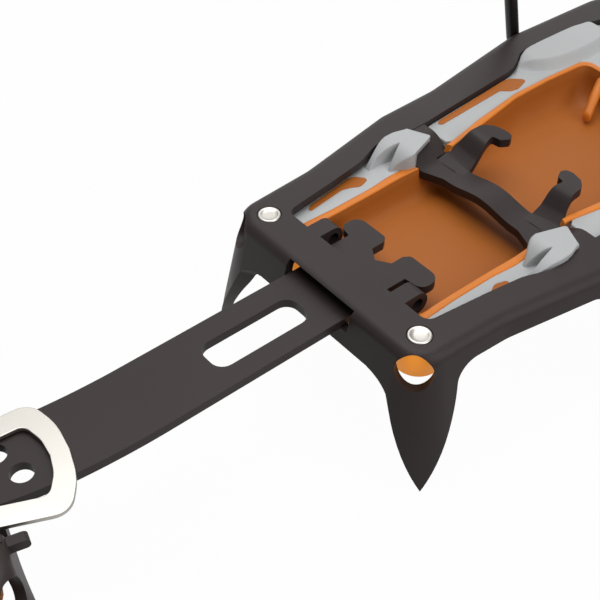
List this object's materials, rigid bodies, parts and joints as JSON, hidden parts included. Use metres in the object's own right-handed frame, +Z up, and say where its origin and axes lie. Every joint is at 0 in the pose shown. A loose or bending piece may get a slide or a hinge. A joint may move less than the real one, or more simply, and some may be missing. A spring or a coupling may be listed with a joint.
{
  "type": "mountaineering crampon",
  "caption": "Adjustable crampon for a right boot: pressed steel front and heel sections on a drilled link bar, with wire bails, a heel lever and anti-snow trays.",
  "frame": {"origin": "middle of the front section's rear crossbar, on the face that the boot stands on", "axes": "+X towards the toe, +Y towards the wearer's left, +Z up; the points' tips are at Z -0.040"},
  "size_m": [0.3971, 0.1101, 0.1361],
  "materials": {
    "black_steel": "satin dark coating over pressed steel",
    "polished_steel": "polished stainless steel",
    "dark_wire": "dark blued spring wire",
    "orange_plastic": "smooth orange moulding",
    "grey_plastic": "smooth light grey moulding",
    "black_plastic": "fine satin black moulding"
  },
  "bodies": {
    "front": {"front_frame": "black_steel", "front_tray": "orange_plastic", "front_insert_left": "grey_plastic", "front_insert_right": "grey_plastic", "front_inlays": "orange_plastic", "front_rivets": "polished_steel", "link_bar": "black_steel"},
    "toe_loop": {"toe_bail": "dark_wire"},
    "heel": {"heel_frame": "black_steel", "heel_tray": "orange_plastic", "heel_inserts": "grey_plastic", "heel_inlays": "orange_plastic", "heel_rivets": "polished_steel", "clip_pin": "polished_steel"},
    "clip": {"size_clip": "polished_steel", "size_pegs": "polished_steel"},
    "heel_loop": {"heel_bail": "dark_wire"},
    "nut": {"height_nut": "polished_steel"},
    "lever": {"heel_lever": "black_plastic", "welt_claw": "black_steel", "claw_rivets": "polished_steel"},
    "screw": {"height_screw": "polished_steel", "height_knob": "orange_plastic"}
  },
  "joints": [
    {"name": "toe_bail_swing", "type": "hinge", "parent": "front", "child": "toe_loop", "pos_m": [0.1185, 0, -0.0085], "axis": [0, 1, 0], "range_deg": [-30, 85]},
    {"name": "size_slide", "type": "slide", "parent": "front", "child": "heel", "axis": [-0.9659, 0.2588, 0], "range_m": [-0.016, 0.032]},
    {"name": "size_clip_lift", "type": "hinge", "parent": "heel", "child": "clip", "pos_m": [-0.12155, 0.00835, -0.002], "axis": [-0.2588, -0.9659, 0], "range_deg": [0, 25]},
    {"name": "heel_bail_swing", "type": "hinge", "parent": "heel", "child": "heel_loop", "pos_m": [-0.14425, 0.01444, -0.0085], "axis": [0.2588, 0.9659, 0], "range_deg": [-34, 22]},
    {"name": "lever_tilt", "type": "hinge", "parent": "heel_loop", "child": "nut", "pos_m": [-0.16796, 0.02079, 0.04183], "axis": [0.2588, 0.9659, 0], "range_deg": [-60, 20]},
    {"name": "lever_height", "type": "slide", "parent": "nut", "child": "lever", "axis": [-0.4234, 0.1135, 0.8988], "range_m": [-0.0016, 0.0016]},
    {"name": "screw_turn", "type": "hinge", "parent": "lever", "child": "screw", "pos_m": [-0.17282, 0.02209, 0.03938], "axis": [-0.4234, 0.1135, 0.8988], "range_deg": [-727, 727]}
  ],
  "couplings": [
    {"joint": "screw_turn", "follows": "lever_height", "rad_per_m": 7854}
  ]
}
